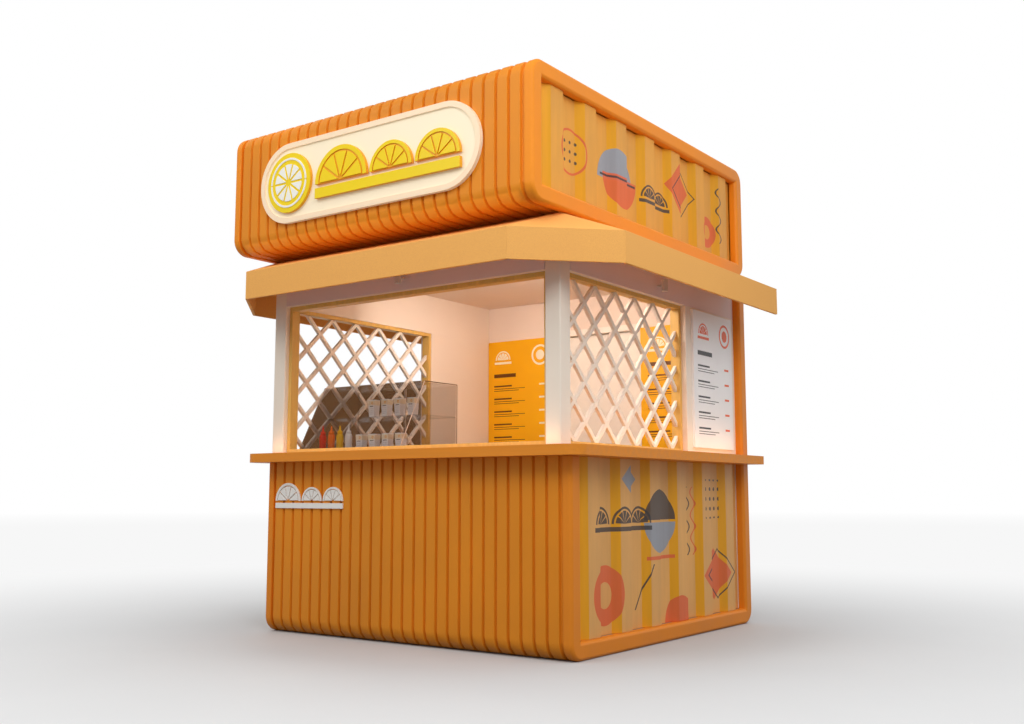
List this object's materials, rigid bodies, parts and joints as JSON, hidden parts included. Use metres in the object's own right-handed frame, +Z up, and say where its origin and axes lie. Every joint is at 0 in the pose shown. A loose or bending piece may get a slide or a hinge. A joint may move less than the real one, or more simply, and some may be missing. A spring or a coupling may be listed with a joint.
{
  "type": "street kiosk",
  "caption": "Street food kiosk with a ribbed base, a serving counter, latticed side windows, hollow eaves, a ribbed sign box on top and a hinged rear door",
  "frame": {"origin": "middle of the base footprint, on the ground", "axes": "+Z up, the serving front looks along -Y, +X to the right seen from the front"},
  "size_m": [3.008, 2.785, 3.246],
  "materials": {
    "orange_skin": "satin orange paint",
    "orange_frame": "satin orange paint",
    "orange_eaves": "satin light orange paint",
    "orange_counter": "painted orange board",
    "print_panel": "tan sheet with a printed pattern",
    "white_wall": "matt white paint",
    "white_lattice": "white paint",
    "orange_lining": "satin orange paint",
    "cream_sign": "cream acrylic",
    "white_board": "white printed board",
    "orange_board": "orange printed board",
    "door_paint": "matt white paint",
    "steel": "brushed steel",
    "lamp_metal": "light paint",
    "smoked_clear": "smoked clear sheet",
    "carton_paper": "white paper board",
    "sauce_plastic": "coloured squeeze bottles",
    "floor_board": "grey floor board"
  },
  "bodies": {
    "kiosk": {"back_menu_boards": "orange_board", "base_floor": "floor_board", "base_front_lining": "white_wall", "base_front_skin": "orange_skin", "base_side_linings": "white_wall", "box_skin": "orange_skin", "case_shelf": "smoked_clear", "ceiling": "white_wall", "counter_top": "orange_counter", "display_case": "smoked_clear", "door_frame": "white_wall", "eaves_corners": "orange_eaves", "eaves_front": "orange_eaves", "eaves_sides": "orange_eaves", "food_cartons": "carton_paper", "front_corner_posts": "white_wall", "front_lintel": "white_wall", "front_window_frame": "orange_lining", "hinge_frame_halves": "steel", "left_base_panel": "print_panel", "left_box_frame": "orange_frame", "left_box_panel": "print_panel", "left_end_frame": "orange_frame", "left_lattice": "white_lattice", "rear_cladding": "orange_skin", "rear_cladding_head": "orange_skin", "rear_wall_head": "white_wall", "rear_walls": "white_wall", "right_base_panel": "print_panel", "right_box_frame": "orange_frame", "right_box_panel": "print_panel", "right_end_frame": "orange_frame", "right_lattice": "white_lattice", "sauce_bottles": "sauce_plastic", "side_lintels": "white_wall", "side_menu_boards": "white_board", "side_walls": "white_wall", "side_window_frames": "orange_lining", "sign_panel": "cream_sign", "spotlights": "lamp_metal"},
    "door": {"rear_door": "door_paint", "door_handle": "steel", "hinge_door_halves": "steel"}
  },
  "joints": [
    {"name": "rear_door_hinge", "type": "hinge", "parent": "kiosk", "child": "door", "pos_m": [0.38596, 1.184, 0.1], "axis": [0, 0, -1], "range_deg": [0, 100]}
  ]
}
